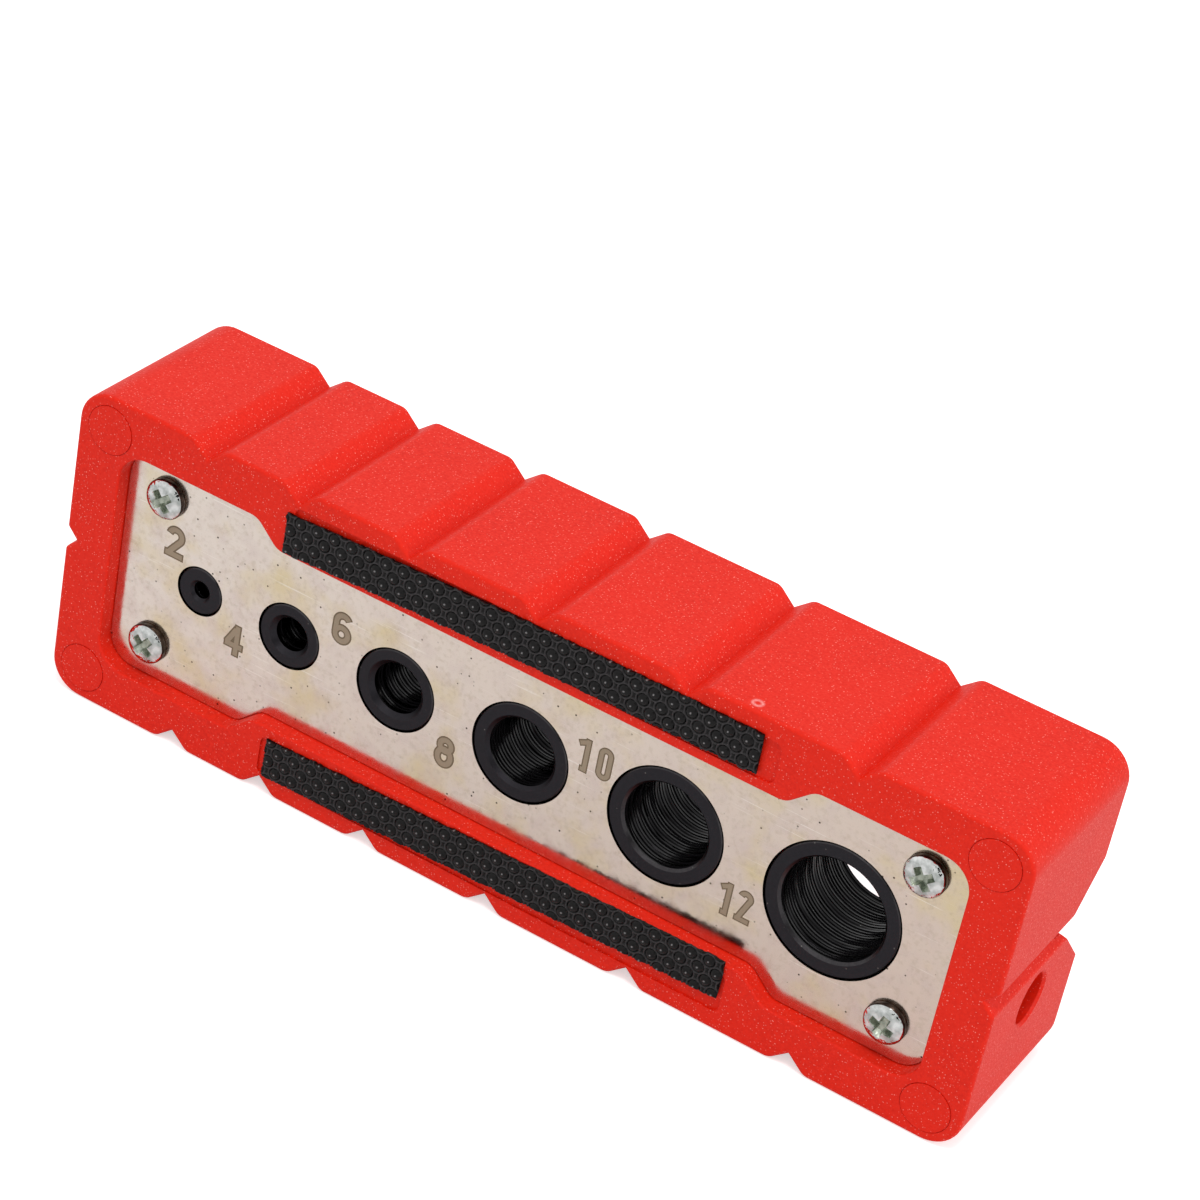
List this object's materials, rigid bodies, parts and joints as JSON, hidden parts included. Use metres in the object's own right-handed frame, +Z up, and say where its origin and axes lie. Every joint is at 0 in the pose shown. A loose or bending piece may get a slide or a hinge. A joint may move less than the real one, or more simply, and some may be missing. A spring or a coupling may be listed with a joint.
{
  "type": "drill guide",
  "caption": "Moulded drill guide block with a recessed steel face plate, a row of hardened drill bushes, rubber grip strips and a V groove along its back.",
  "frame": {"origin": "middle of the underside's box, on the surface that the guide stands on", "axes": "+X along the row of bushes towards the largest, -Y out of the face plate, +Z up, with one long side resting below"},
  "size_m": [0.117, 0.0234, 0.0392],
  "materials": {
    "red_plastic": "fine moulded grain",
    "plated_steel": "plated, satin, with light scratches",
    "black_oxide_steel": "black oxide over turned steel",
    "bright_zinc_steel": "bright zinc plate",
    "black_rubber": "ring-patterned anti-slip rubber"
  },
  "bodies": {
    "root": {"block": "red_plastic", "face_plate": "plated_steel", "upper_strip": "black_rubber", "lower_strip": "black_rubber", "bush_2": "black_oxide_steel", "bush_4": "black_oxide_steel", "bush_6": "black_oxide_steel", "bush_8": "black_oxide_steel", "bush_10": "black_oxide_steel", "bush_12": "black_oxide_steel", "screw_upper_left": "bright_zinc_steel", "screw_upper_right": "bright_zinc_steel", "screw_lower_left": "bright_zinc_steel", "screw_lower_right": "bright_zinc_steel"}
  },
  "joints": []
}
